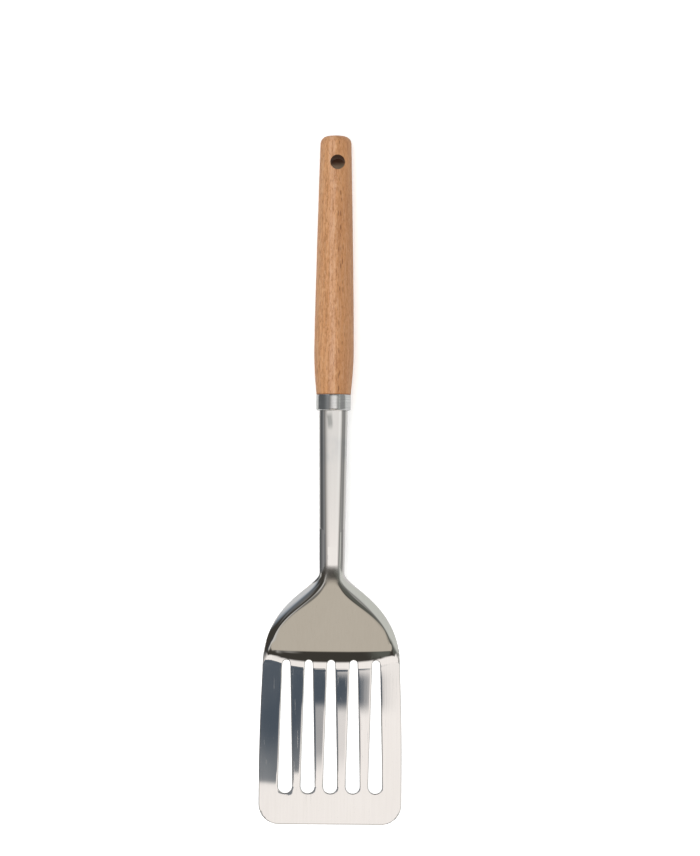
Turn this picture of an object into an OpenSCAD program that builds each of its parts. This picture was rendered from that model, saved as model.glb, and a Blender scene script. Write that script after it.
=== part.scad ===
// Slotted kitchen turner, lying face up on a flat surface.
// X runs across the blade, Y from the blade to the handle's butt, Z up.
// The heel of the blade and the butt of the handle touch the surface.
// All lengths are millimetres and all angles degrees.

/* [Blade] */
// Thickness of the pressed sheet that the whole head is made of
sheet = 1; // [0.8:0.1:1.4]
// Length from the front edge back to the lowest line of the heel, seen from above
blade_l = 81.8; // [70:1:100]
// Width near the front edge
blade_w = 74.8; // [66:1:90]
// Width at the heel
heel_w = 72.4; // [64:1:88]
// Length behind the front edge over which the sides stay parallel
parallel_l = 27; // [15:1:40]
// Radius of the two front corners
corner_r = 10.5; // [5:0.5:14]
// Tilt of the blade, its front edge up
blade_lift = 4; // [1:0.5:8]

/* [Slots] */
// Number of slots
slot_count = 5; // [1:1:5]
// Distance from one slot to the next
slot_pitch = 11.8; // [9.5:0.1:13]
// Width at the heel end
slot_heel_w = 4.2; // [3:0.1:5]
// Width at the front end
slot_front_w = 7.7; // [5.5:0.1:9]
// Length from end to end
slot_l = 70.8; // [50:1:72]
// Land between the slots and the front edge
slot_land = 14.9; // [12:0.5:25]

/* [Fan and shank] */
// Length of the fan from the heel's lowest line to the shank, seen from above
fan_l = 52; // [44:1:60]
// Radius of the heel's bend on its upper side
heel_r = 22; // [14:1:30]
// Radius of the bend between the fan and the shank
throat_r = 14; // [8:1:20]
// Width of the raised panel at the heel
panel_w = 62; // [50:1:66]
// Distance behind the heel's lowest line where the rim begins to fall
rim_start = 2.5; // [1:0.5:6]
// Length of the shank between the fan and the ferrule
shank_l = 82.9; // [50:1:110]
// Width of the shank at the fan
shank_fan_w = 13; // [11:0.1:15]
// Width of the shank at the ferrule
shank_mouth_w = 14.9; // [13:0.1:15.4]
// Width of the shank's flat crown at the fan
crown_fan_w = 6.4; // [4:0.1:8]
// Width of the shank's flat crown at the ferrule
crown_mouth_w = 7.4; // [4:0.1:8]
// Depth of the shank's channel
shank_depth = 4.5; // [3:0.1:4.8]

/* [Tang] */
// Length of the tang inside the handle's bore
tang_l = 56; // [30:1:80]
// Width of the tang
tang_w = 7.6; // [5:0.1:8]
// Width of the tang's flat crown
tang_crown_w = 3; // [1:0.1:4]
// Length of the tang's tapered tip
tang_tip_l = 9; // [4:1:20]
// Width at the very tip
tang_tip_w = 4; // [3:0.1:5]

/* [Ferrule] */
// Outside diameter
ferrule_d = 18; // [17.6:0.1:20]
// Length along the handle
ferrule_l = 8.1; // [7:0.1:14]
// Wall thickness
ferrule_wall = 0.6; // [0.4:0.1:0.8]
// Radius of the rounded edge at the shank
ferrule_round = 0.8; // [0.7:0.1:1.2]

/* [Handle] */
// Length of the wood that shows
handle_l = 135.2; // [110:1:160]
// Diameter at the ferrule
seam_d = 18; // [17:0.1:20]
// Largest diameter
belly_d = 20.6; // [19:0.1:24]
// Distance of the largest diameter from the ferrule
belly_l = 23; // [15:1:40]
// Diameter just before the butt's rounding
butt_d = 16.2; // [14:0.1:19]
// Radius of the butt's rounded edge
butt_round = 4; // [2:0.5:6]
// Radius of the small rounding of the wood at the ferrule
seam_round = 0.5; // [0.2:0.1:1]
// Length of the turned spigot inside the ferrule
spigot_l = 4.5; // [3:0.1:5]
// Fall of the handle's axis towards the butt
handle_fall = 2; // [1.5:0.5:4]

/* [Hang hole] */
// Diameter
hang_hole_d = 7.6; // [5:0.1:9]
// Distance of its centre from the butt's end
hang_hole_l = 14.3; // [11:0.5:25]
// How far it is drilled off the handle's centre line
hang_hole_offset = 1; // [-1.5:0.5:1.5]

/* [Fits] */
// Gap round the shank in the ferrule's opening
opening_gap = 0.2; // [0.1:0.05:0.3]
// Gap between the spigot and the ferrule's wall
spigot_gap = 0.05; // [0.03:0.01:0.1]
// Glue between the tang's corners and the wall of the bore
glue_gap = 0.3; // [0.2:0.1:0.6]
// Glue beyond the tang's tip
glue_end = 1; // [0.5:0.5:4]

/* [Hidden] */
steel = [0.74, 0.73, 0.71];
beech = [0.80, 0.58, 0.40];
glue_grey = [0.62, 0.60, 0.54];
// How far cutting shapes reach past what they cut
overrun = 2;
round_fn = 96;

// The handle's axis: from the ferrule's mouth it falls to the butt, whose
// rounded edge touches the surface at height zero.
butt_run = ferrule_l + handle_l - butt_round;
mouth_y = fan_l + shank_l * cos(handle_fall);
mouth_z = butt_run * sin(handle_fall)
    + (butt_d / 2 - butt_round) * cos(handle_fall) + butt_round;
butt_y = mouth_y + butt_run * cos(handle_fall)
    + (butt_d / 2 - butt_round) * sin(handle_fall) + butt_round;
middle_y = (butt_y - blade_l) / 2;

// The crown line: the top of the head along its middle. Heel and throat are
// arcs, and the panel is the straight line that touches both.
crown_rise = shank_depth / 2;
shank_start_z = mouth_z + crown_rise / cos(handle_fall) + shank_l * sin(handle_fall);
heel_cz = heel_r + sheet;
heel_start_y = -heel_r * sin(blade_lift);
heel_start_z = heel_cz - heel_r * cos(blade_lift);
throat_cy = fan_l - throat_r * sin(handle_fall);
throat_cz = shank_start_z - throat_r * cos(handle_fall);
arc_gap = norm([throat_cy, throat_cz - heel_cz]);
panel_slope = atan2(throat_cz - heel_cz, throat_cy) + asin((heel_r + throat_r) / arc_gap);
heel_end_y = heel_r * sin(panel_slope);
heel_end_z = heel_cz - heel_r * cos(panel_slope);
throat_start_y = throat_cy - throat_r * sin(panel_slope);

function crown_z(y) =
    y < heel_start_y ? heel_start_z + (heel_start_y - y) * tan(blade_lift) :
    y < heel_end_y ? heel_cz - sqrt(pow(heel_r, 2) - pow(y, 2)) :
    y < throat_start_y ? heel_end_z + (y - heel_end_y) * tan(panel_slope) :
    y < fan_l ? throat_cz + sqrt(pow(throat_r, 2) - pow(y - throat_cy, 2)) :
    shank_start_z - (y - fan_l) * tan(handle_fall);

// The rim falls away from the crown, from nothing at the heel to the full
// depth of the channel at the shank.
function rim_share(y) = min(1, max(0, (y - rim_start) / (fan_l - rim_start)));
function rim_depth(y) = shank_depth * (1 - pow(1 - rim_share(y), 2));

function mix(a, b, s) = a + (b - a) * s;
function bezier(p, s) = pow(1 - s, 3) * p[0] + 3 * pow(1 - s, 2) * s * p[1]
    + 3 * (1 - s) * pow(s, 2) * p[2] + pow(s, 3) * p[3];

// Plan of the fan from the heel to the throat: one curve for the sheet's
// edge and one for the edge of the raised panel. The shares are of fan_l.
edge_heel_share = 0.025;
edge_heel_pull_share = 0.657;
edge_throat_pull_share = 0.835;
edge_throat_share = 0.969;
panel_heel_pull_share = 0.565;
panel_throat_pull_share = 0.646;
edge_curve = [
    [heel_w / 2, fan_l * edge_heel_share],
    [heel_w / 2, fan_l * edge_heel_pull_share],
    [shank_fan_w / 2, fan_l * edge_throat_pull_share],
    [shank_fan_w / 2, fan_l * edge_throat_share]
];
panel_curve = [
    [panel_w / 2, heel_end_y],
    [panel_w / 2, fan_l * panel_heel_pull_share],
    [crown_fan_w / 2, fan_l * panel_throat_pull_share],
    [crown_fan_w / 2, throat_start_y]
];

// How far the rim's curve holds level before it falls: a long soft fall
// round the panel, and a full quarter turn on the shank.
panel_hold_share = 0.42;
shank_hold_share = 1;

// The tang starts behind the ferrule's end wall, and its shoulders narrow
// in the room between that wall and the wooden spigot.
spigot_start = ferrule_l - spigot_l;
shoulder_start = ferrule_wall;
tang_end = spigot_start + tang_l;
function along_y(l) = mouth_y + l * cos(handle_fall);

// A row of the head: half width and place of the crown's edge, half width
// and place of the sheet's edge, depth of the rim, and its hold share.
// The blade is flat: rounded front corners, then sides that draw in slowly.
join_y = heel_start_y - sheet;
plate_l = (blade_l + join_y - sheet * sin(blade_lift)) / cos(blade_lift);
function blade_row(l, half_w) = let (y = join_y - (plate_l - l) * cos(blade_lift)) [
    half_w * panel_w / heel_w, y, half_w, y, 0, panel_hold_share];
corner_steps = 10;
side_steps = 8;
blade_rows = concat(
    [for (i = [0 : corner_steps]) let (turn = 90 * i / corner_steps) blade_row(
        corner_r * (1 - cos(turn)), blade_w / 2 - corner_r * (1 - sin(turn)))],
    [for (i = [0 : side_steps - 1]) let (s = i / side_steps) blade_row(
        mix(parallel_l, plate_l, s), mix(blade_w, heel_w, pow(s, 2)) / 2)]);
function heel_row(y, s) = let (edge_y = mix(join_y, edge_curve[0][1], s)) [
    panel_w / 2, y, heel_w / 2, edge_y, rim_depth(edge_y), panel_hold_share];
heel_steps = 9;
heel_rows = concat(
    [heel_row(join_y, 0)],
    [for (i = [0 : heel_steps - 1])
        heel_row(mix(heel_start_y, heel_end_y, i / heel_steps), (i + 1) / (heel_steps + 1))]);
fan_steps = 22;
fan_rows = [for (i = [0 : fan_steps]) let (
        s = i / fan_steps,
        panel_edge = bezier(panel_curve, s),
        sheet_edge = bezier(edge_curve, s)
    ) [panel_edge[0], panel_edge[1], sheet_edge[0], sheet_edge[1],
        rim_depth(sheet_edge[1]), mix(panel_hold_share, shank_hold_share, pow(s, 3))]];
throat_rows = [for (s = [0.2 : 0.2 : 1]) [
    crown_fan_w / 2, mix(throat_start_y, fan_l, s),
    shank_fan_w / 2, mix(edge_curve[3][1], fan_l, s),
    rim_depth(mix(edge_curve[3][1], fan_l, s)), shank_hold_share]];
function straight_row(l, w, crown_w, depth) =
    [crown_w / 2, along_y(l), w / 2, along_y(l), depth, shank_hold_share];
shank_rows = [for (s = [0.1, 0.5, 1])
    straight_row(
        mix(-shank_l, shoulder_start, s), mix(shank_fan_w, shank_mouth_w, s),
        mix(crown_fan_w, crown_mouth_w, s), shank_depth)];
shoulder_rows = [for (i = [1 : 4]) let (s = (1 - cos(45 * i)) / 2)
    straight_row(
        mix(shoulder_start, spigot_start, i / 5), mix(shank_mouth_w, tang_w, s),
        mix(crown_mouth_w, tang_crown_w, s), shank_depth)];
tang_rows = [
    straight_row(tang_end - tang_tip_l, tang_w, tang_crown_w, shank_depth),
    straight_row(tang_end, tang_tip_w, tang_crown_w * tang_tip_w / tang_w,
        shank_depth * tang_tip_w / tang_w)
];
head_rows = concat(
    blade_rows, heel_rows, fan_rows, throat_rows, shank_rows, shoulder_rows, tang_rows);
tang_first_row = len(head_rows) - len(tang_rows) - 1;

// One rim point: v runs from the crown's edge, 0, to the sheet's edge, 1.
rim_steps = 8;
function rim_point(row, v, side) = let (
        out = 2 * row[5] * v * (1 - v) + pow(v, 2),
        y = mix(row[1], row[3], out)
    ) [side * mix(row[0], row[2], out), y, crown_z(y) - row[4] * pow(v, 2)];
function row_points(row) = concat(
    [for (i = [rim_steps : -1 : 0]) rim_point(row, i / rim_steps, -1)],
    [for (s = [-0.5, 0, 0.5]) [row[0] * s, row[1], crown_z(row[1])]],
    [for (i = [0 : rim_steps]) rim_point(row, i / rim_steps, 1)]);

function unit(v) = v / norm(v);
function sheet_normal(grid, i, j) = let (
        across = grid[i][min(j + 1, len(grid[0]) - 1)] - grid[i][max(j - 1, 0)],
        along = grid[min(i + 1, len(grid) - 1)][j] - grid[max(i - 1, 0)][j]
    ) unit(cross(across, along));

// The formed sheet between two rows: its upper skin, the same skin set down
// by the sheet's thickness, and the cut edge round both.
all_points = [for (row = head_rows) row_points(row)];
all_under = [for (i = [0 : len(all_points) - 1])
    [for (j = [0 : len(all_points[0]) - 1])
        all_points[i][j] - sheet * sheet_normal(all_points, i, j)]];
module formed_sheet(first, last) {
    cols = len(all_points[0]);
    rows = last - first + 1;
    upper = [for (i = [first : last]) each all_points[i]];
    under = [for (i = [first : last]) each all_under[i]];
    base = rows * cols;
    skin = [for (i = [0 : rows - 2]) for (j = [0 : cols - 2])
        [i * cols + j, (i + 1) * cols + j, (i + 1) * cols + j + 1, i * cols + j + 1]];
    upper_faces = [for (q = skin) each [[q[0], q[1], q[2]], [q[0], q[2], q[3]]]];
    under_faces = [for (f = upper_faces) [f[2] + base, f[1] + base, f[0] + base]];
    rim_loop = concat(
        [for (j = [0 : cols - 1]) j],
        [for (i = [1 : rows - 1]) i * cols + cols - 1],
        [for (j = [cols - 2 : -1 : 0]) (rows - 1) * cols + j],
        [for (i = [rows - 2 : -1 : 1]) i * cols]);
    count = len(rim_loop);
    edge_faces = [for (k = [0 : count - 1]) let (a = rim_loop[k], b = rim_loop[(k + 1) % count])
        each [[a, b, b + base], [a, b + base, a + base]]];
    polyhedron(concat(upper, under), concat(upper_faces, under_faces, edge_faces), convexity = 6);
}

// The blade's own plane: the origin is where the heel begins, on the upper
// side, and -Y runs to the front.
module blade_plane() {
    translate([0, join_y, crown_z(join_y)]) rotate([-blade_lift, 0, 0]) children();
}

// A slot with round ends and straight sides that touch both of them
module slot_outline() {
    heel_end_r = slot_heel_w / 2;
    front_end_r = slot_front_w / 2;
    centres = slot_l - heel_end_r - front_end_r;
    flank = asin((front_end_r - heel_end_r) / centres);
    arc_steps = 24;
    polygon(concat(
        [for (i = [0 : arc_steps]) let (turn = mix(180 - flank, 360 + flank, i / arc_steps)) [
            front_end_r * cos(turn), front_end_r * sin(turn)]],
        [for (i = [0 : arc_steps]) let (turn = mix(flank, 180 - flank, i / arc_steps)) [
            heel_end_r * cos(turn), centres + heel_end_r * sin(turn)]]));
}

// Sets the origin under the middle of the footprint
module centred() {
    translate([0, -middle_y, 0]) children();
}

module slotted_head() {
    color(steel) centred() difference() {
        formed_sheet(0, len(head_rows) - 1);
        blade_plane() for (i = [0 : slot_count - 1])
            translate([
                (i - (slot_count - 1) / 2) * slot_pitch,
                slot_land + slot_front_w / 2 - plate_l,
                -sheet - overrun
            ]) linear_extrude(sheet + 2 * overrun) slot_outline();
    }
}

// Places a turned piece on the handle's axis: its own Z runs from the
// ferrule's mouth to the butt.
module on_axis(l = 0) {
    translate([0, mouth_y, mouth_z]) rotate([-90 - handle_fall, 0, 0])
        translate([0, 0, l]) children();
}

// A drawn cup: the handle's spigot fills it, and the shank comes out
// through the opening in its end wall.
opening_r = norm([shank_mouth_w / 2, crown_rise]) + opening_gap;
opening_h = shank_depth + 2 * opening_gap;
module ferrule() {
    outer_r = ferrule_d / 2;
    inner_r = outer_r - ferrule_wall;
    lip_steps = 6;
    color(steel) centred() on_axis() difference() {
        rotate_extrude($fn = round_fn) polygon(concat(
            [[0, 0]],
            [for (i = [0 : lip_steps]) let (turn = 90 * i / lip_steps) [
                outer_r - ferrule_round + ferrule_round * sin(turn),
                ferrule_round - ferrule_round * cos(turn)]],
            [[outer_r, ferrule_l], [inner_r, ferrule_l],
                [inner_r, ferrule_wall], [0, ferrule_wall]]));
        translate([0, 0, -overrun]) intersection() {
            cylinder(h = ferrule_wall + 2 * overrun, r = opening_r, $fn = round_fn);
            translate([-opening_r, -opening_h / 2, 0])
                cube([2 * opening_r, opening_h, ferrule_wall + 2 * overrun]);
        }
    }
}

// Turned beech: a spigot for the ferrule, a quick swell to the belly, a slow
// taper to the butt and a rounded end.
spigot_r = ferrule_d / 2 - ferrule_wall - spigot_gap;
bore_r = norm([tang_w / 2, crown_rise]) + glue_gap;
bore_l = tang_l + glue_end;
taper_power_share = 1.3;
module handle() {
    butt_end = ferrule_l + handle_l;
    swell_steps = 8;
    taper_steps = 14;
    round_steps = 8;
    seam_r = seam_d / 2 - seam_round;
    color(beech) centred() difference() {
        on_axis() rotate_extrude($fn = round_fn) polygon(concat(
            [[0, spigot_start], [spigot_r, spigot_start], [spigot_r, ferrule_l]],
            [for (turn = [0 : 30 : 60]) [
                seam_r + seam_round * sin(turn),
                ferrule_l + seam_round - seam_round * cos(turn)]],
            [for (i = [0 : swell_steps]) let (s = i / swell_steps) [
                mix(seam_d, belly_d, sin(90 * s)) / 2,
                mix(ferrule_l + seam_round, ferrule_l + belly_l, s)]],
            [for (i = [1 : taper_steps]) let (s = i / taper_steps) [
                mix(belly_d, butt_d, pow(s, taper_power_share)) / 2,
                mix(ferrule_l + belly_l, butt_end - butt_round, s)]],
            [for (i = [1 : round_steps]) let (turn = 90 * i / round_steps) [
                butt_d / 2 - butt_round + butt_round * cos(turn),
                butt_end - butt_round + butt_round * sin(turn)]],
            [[0, butt_end]]));
        on_axis(spigot_start - overrun)
            cylinder(h = bore_l + overrun, r = bore_r, $fn = round_fn);
        on_axis(butt_end - hang_hole_l) translate([hang_hole_offset, 0, 0]) rotate([90, 0, 0])
            cylinder(h = belly_d + 2 * overrun, d = hang_hole_d, center = true, $fn = round_fn);
    }
}

// The glue that fills the bore round the tang
module tang_glue() {
    color(glue_grey) centred() difference() {
        on_axis(spigot_start) cylinder(h = bore_l, r = bore_r, $fn = round_fn);
        formed_sheet(tang_first_row, len(head_rows) - 1);
    }
}

slotted_head();
ferrule();
handle();
tang_glue();
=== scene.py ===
# %% [markdown]
# # A slotted kitchen turner
#
# The turner lies face up. Its head is one pressed steel sheet, which runs on
# as a tang into a beech handle, and a steel ferrule closes the joint. The
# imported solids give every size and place. Here each piece is made again with
# the small curves and the finish that a hand and an eye notice.

# %% Load the solids
import math

import bmesh
import bpy
from mathutils import Matrix, Vector, noise


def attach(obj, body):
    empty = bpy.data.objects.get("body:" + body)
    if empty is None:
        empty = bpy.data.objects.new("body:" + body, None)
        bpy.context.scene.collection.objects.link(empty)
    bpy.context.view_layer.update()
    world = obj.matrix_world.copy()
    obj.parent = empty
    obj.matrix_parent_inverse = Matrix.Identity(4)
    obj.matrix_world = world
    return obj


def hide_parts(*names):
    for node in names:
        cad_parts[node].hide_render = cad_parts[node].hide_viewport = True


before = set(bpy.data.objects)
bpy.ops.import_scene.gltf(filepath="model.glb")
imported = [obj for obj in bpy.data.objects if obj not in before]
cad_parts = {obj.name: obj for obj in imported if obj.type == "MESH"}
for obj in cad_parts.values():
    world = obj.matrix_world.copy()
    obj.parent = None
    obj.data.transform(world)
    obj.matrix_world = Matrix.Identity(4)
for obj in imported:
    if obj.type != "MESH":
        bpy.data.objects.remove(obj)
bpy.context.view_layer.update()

scene = bpy.context.scene
print("solids:", sorted(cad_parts))

# %% [markdown]
# ## Lengths
#
# All lengths here are millimetres, as in the drawing of the solids. The
# drawing counts Y from the lowest line of the heel, and the shared frame
# counts it from the middle of the turner, so `place` shifts and scales once.
# The blade lifts towards its front edge and the handle falls towards its
# butt, by the two angles here.

# %% Shared lengths
MM = 0.001
SHEET = 1.0
LIFT, FALL = math.radians(4), math.radians(2)
BLADE_L, FAN_L, SHANK_L = 81.8, 52.0, 82.9
FERRULE_L, HANDLE_L = 8.1, 135.2
BUTT_D, BUTT_ROUND = 16.2, 4.0
BUTT_RUN = FERRULE_L + HANDLE_L - BUTT_ROUND
MOUTH_Y = FAN_L + SHANK_L * math.cos(FALL)
MOUTH_Z = (BUTT_RUN * math.sin(FALL)
           + (BUTT_D / 2 - BUTT_ROUND) * math.cos(FALL) + BUTT_ROUND)
BUTT_Y = (MOUTH_Y + BUTT_RUN * math.cos(FALL)
          + (BUTT_D / 2 - BUTT_ROUND) * math.sin(FALL) + BUTT_ROUND)
MIDDLE_Y = (BUTT_Y - BLADE_L) / 2


def place(x, y, z):
    """A point of the drawing, in the shared frame."""
    return Vector((x, y - MIDDLE_Y, z)) * MM


def mix(a, b, share):
    return a + (b - a) * share


def clip(share):
    """A share, kept between 0 and 1."""
    return min(1, max(0, share))


print("ferrule's mouth in mm:", [round(c / MM, 2) for c in place(0, MOUTH_Y, MOUTH_Z)])

# %% [markdown]
# ## The line of the head
#
# A press tool gives the sheet one line along its middle: a flat blade with
# its front edge up, a round heel, a flat sloping panel, a round throat and a
# straight shank. Every point of the sheet hangs from this line, so it comes
# first. These are the solid's own bends.

# %% Bends of the solid
HEEL_R, THROAT_R, SHANK_DEPTH = 22.0, 14.0, 4.5
CROWN_RISE = SHANK_DEPTH / 2
MOUTH_TOP_Z = MOUTH_Z + CROWN_RISE / math.cos(FALL)
SHANK_START_Z = MOUTH_TOP_Z + SHANK_L * math.sin(FALL)
HEEL_CZ = HEEL_R + SHEET
HEEL_START_Y = -HEEL_R * math.sin(LIFT)
HEEL_START_Z = HEEL_CZ - HEEL_R * math.cos(LIFT)
THROAT_CY = FAN_L - THROAT_R * math.sin(FALL)
THROAT_CZ = SHANK_START_Z - THROAT_R * math.cos(FALL)
PANEL_SLOPE = (math.atan2(THROAT_CZ - HEEL_CZ, THROAT_CY)
               + math.asin((HEEL_R + THROAT_R) / math.hypot(THROAT_CY, THROAT_CZ - HEEL_CZ)))
THROAT_START_Y = THROAT_CY - THROAT_R * math.sin(PANEL_SLOPE)
print("panel slope:", round(math.degrees(PANEL_SLOPE), 2), "degrees")

# %% [markdown]
# A real sheet springs back after the press, so its bends are softer than the
# solid's plain arcs, and polished steel shows that at once. Here the heel is
# two arcs, which get sharper towards the sides, and the throat is one wide
# arc between two straight lines. Three small functions draw such bends.

# %% Softer bends
PANEL_W = 62.0
HALF_TURN, TILT_LOSS = math.radians(8.3), math.radians(0.75)
UPPER_HEEL_R, PERCH, HEEL_RUN_ON = 28.5, 0.6, 1.3
LOWER_SHARPER, UPPER_SHARPER = 0.12, 0.62
PANEL_TILT = PANEL_SLOPE - TILT_LOSS
BLADE_SLOPE = -math.tan(LIFT)
HEEL_END_Y = HEEL_R * math.sin(PANEL_SLOPE) + HEEL_RUN_ON


def bent_line(y, mid_y, mid_z, slope_in, slope_out, radius):
    """Height at y of two straight lines that meet at a point, rounded by an arc."""
    turn_in, turn_out = math.atan(slope_in), math.atan(slope_out)
    way = 1 if turn_out > turn_in else -1
    reach = radius * math.tan(way * (turn_out - turn_in) / 2)
    start_y, end_y = mid_y - reach * math.cos(turn_in), mid_y + reach * math.cos(turn_out)
    if y <= start_y:
        return mid_z + (y - mid_y) * slope_in
    if y >= end_y:
        return mid_z + (y - mid_y) * slope_out
    centre_y = start_y - way * radius * math.sin(turn_in)
    centre_z = mid_z - reach * math.sin(turn_in) + way * radius * math.cos(turn_in)
    return centre_z - way * math.sqrt(radius ** 2 - (y - centre_y) ** 2)


def heel_bend(x):
    """The bend between blade and panel, as (start_y, start_z, r1, mid_y, mid_z, r2, end_z).
    It gets sharper towards the sides."""
    side = clip(abs(x) / (PANEL_W / 2)) ** 3
    r1, r2 = HEEL_R * (1 - LOWER_SHARPER * side), UPPER_HEEL_R * (1 - UPPER_SHARPER * side)
    mid_y = HEEL_END_Y - r2 * (math.sin(PANEL_TILT) - math.sin(HALF_TURN))
    start_y = mid_y - r1 * (math.sin(HALF_TURN) + math.sin(LIFT))
    start_z = HEEL_START_Z + PERCH + (start_y - HEEL_START_Y) * BLADE_SLOPE
    mid_z = start_z + r1 * (math.cos(LIFT) - math.cos(HALF_TURN))
    end_z = mid_z + r2 * (math.cos(HALF_TURN) - math.cos(PANEL_TILT))
    return start_y, start_z, r1, mid_y, mid_z, r2, end_z


def arc_rise(run, radius, tilt):
    """How far an arc that starts at a tilt has risen after a run."""
    return radius * (math.cos(tilt) - math.sqrt(1 - (math.sin(tilt) + run / radius) ** 2))


PANEL_Z = heel_bend(0)[-1]
print("panel starts at height", round(PANEL_Z, 2))

# %% [markdown]
# `crown_z` joins the pieces of the line: blade, heel, panel, throat, shank and
# tang. The sheet's edge falls ever lower beside it, which makes the fan's rim
# and the shank's channel. Nothing may dip into the table, so a last function
# levels the lowest hundredths.

# %% Crown line and rim depth
SHANK_FALL = math.radians(2.8)
SOFT_THROAT_R, RIM_START = 34.0, 2.5
RISE_SLOPE, SHANK_SLOPE, TANG_SLOPE = (math.tan(t) for t in (PANEL_TILT, -SHANK_FALL, -FALL))
GROUND, LEVEL_REACH = SHEET + 0.04, 0.06
THROAT_MID_Y = ((MOUTH_TOP_Z - SHANK_SLOPE * MOUTH_Y - PANEL_Z + RISE_SLOPE * HEEL_END_Y)
                / (RISE_SLOPE - SHANK_SLOPE))
THROAT_MID_Z = PANEL_Z + (THROAT_MID_Y - HEEL_END_Y) * RISE_SLOPE


def crown_z(x, y):
    """Height of the raised crown. The panel droops a little towards its two sides."""
    start_y, start_z, r1, mid_y, mid_z, r2, end_z = heel_bend(x)
    if y < start_y:
        return start_z + (y - start_y) * BLADE_SLOPE
    if y < mid_y:
        return start_z + arc_rise(y - start_y, r1, -LIFT)
    if y < HEEL_END_Y:
        return mid_z + arc_rise(y - mid_y, r2, HALF_TURN)
    if y > MOUTH_Y:
        return MOUTH_TOP_Z + (y - MOUTH_Y) * TANG_SLOPE
    over = clip((y - THROAT_START_Y) / (FAN_L - THROAT_START_Y))
    return bent_line(y, THROAT_MID_Y, THROAT_MID_Z, RISE_SLOPE, SHANK_SLOPE,
                     SOFT_THROAT_R) - (PANEL_Z - end_z) * (1 - over)


def rim_depth(y):
    """How far the sheet's edge has fallen below the middle line at y."""
    share = clip((y - RIM_START) / (FAN_L - RIM_START))
    return SHANK_DEPTH * (1 - (1 - share) ** 2)


def above_ground(z):
    """Bends the sheet level, over a few hundredths, where it would sink into the table."""
    return GROUND + (z - GROUND + math.hypot(z - GROUND, LEVEL_REACH)) / 2


print("shank starts at height", round(crown_z(0, FAN_L), 2))

# %% [markdown]
# ## Rows across the head
#
# The sheet is a net of rows and columns. A row says how wide the raised
# crown is, where the sheet's edge is, and how deep that edge has fallen. The
# rows lie closer together where the sheet bends. The first row runs round the
# two front corners, and the next few turn it straight. At the two ends of the
# slots a row bulges round the slot's end, and the next ones follow it like
# collars, ever flatter, so the slots' ends are round and the heel still bends
# smoothly. The slots are two or three tenths narrower here than in the solid,
# and begin a millimetre further back, because their edges are rounded next.

# %% Rows of the flat blade
BLADE_W, HEEL_W, PARALLEL_L = 74.798, 72.4, 27.0
SLOT_COUNT, SLOT_PITCH, SLOT_L, SLOT_LAND = 5, 11.8, 69.5, 16.1
SLOT_HEEL_R, SLOT_FRONT_R = 2.0, 3.7
SLOT_FRONT_L = SLOT_LAND + SLOT_FRONT_R
SLOT_HEEL_L = SLOT_LAND + SLOT_L - SLOT_HEEL_R
COLLAR = 0.6
PANEL_HOLD, FRONT_CLEAR = 0.42, 0.03
JOIN_Y = HEEL_START_Y - SHEET
PLATE_L = (BLADE_L + JOIN_Y - SHEET * math.sin(LIFT)) / math.cos(LIFT)
FRONT_Y = JOIN_Y - PLATE_L * math.cos(LIFT) + FRONT_CLEAR
BODY_ROWS, FIRST_STRAIGHT = 18, 13.5
CORNER_ROWS = (0, 1.2, 2.6, 4.2, 6.0, 8.0, 10.0, 11.8, FIRST_STRAIGHT)


def row(crown, y, edge, edge_y, depth, hold, slot_r, scale, bulge=0, corner=0):
    return dict(crown=crown, y=y, edge=edge, edge_y=edge_y, depth=depth, hold=hold,
                slot_r=slot_r, scale=scale, bulge=bulge, corner=corner)


def blade_row(length, half, slot_r, bulge=0, corner=0):
    """A row of the flat blade, at a length from the front edge."""
    y = FRONT_Y + length * math.cos(LIFT)
    return row(half * PANEL_W / HEEL_W, y, half, y, 0, PANEL_HOLD, slot_r, 1, bulge, corner)


def slot_r_at(length):
    share = (length - SLOT_FRONT_L) / (SLOT_HEEL_L - SLOT_FRONT_L)
    return mix(SLOT_FRONT_R, SLOT_HEEL_R, clip(share))


rows = [blade_row(FIRST_STRAIGHT, BLADE_W / 2, SLOT_FRONT_R, corner=1 - length / FIRST_STRAIGHT)
        for length in CORNER_ROWS]
rows.append(blade_row(SLOT_FRONT_L - COLLAR, BLADE_W / 2, SLOT_FRONT_R + COLLAR,
                      -SLOT_FRONT_R / (SLOT_FRONT_R + COLLAR)))
slot_front_row = len(rows)
for i in range(BODY_ROWS + 1):
    length = mix(SLOT_FRONT_L, PLATE_L, i / BODY_ROWS)
    draw_in = max(0, (length - PARALLEL_L) / (PLATE_L - PARALLEL_L))
    rows.append(blade_row(length, mix(BLADE_W, HEEL_W, draw_in ** 2) / 2,
                          slot_r_at(length), -1 if i == 0 else 0))
print("rows of the blade:", len(rows))

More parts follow.
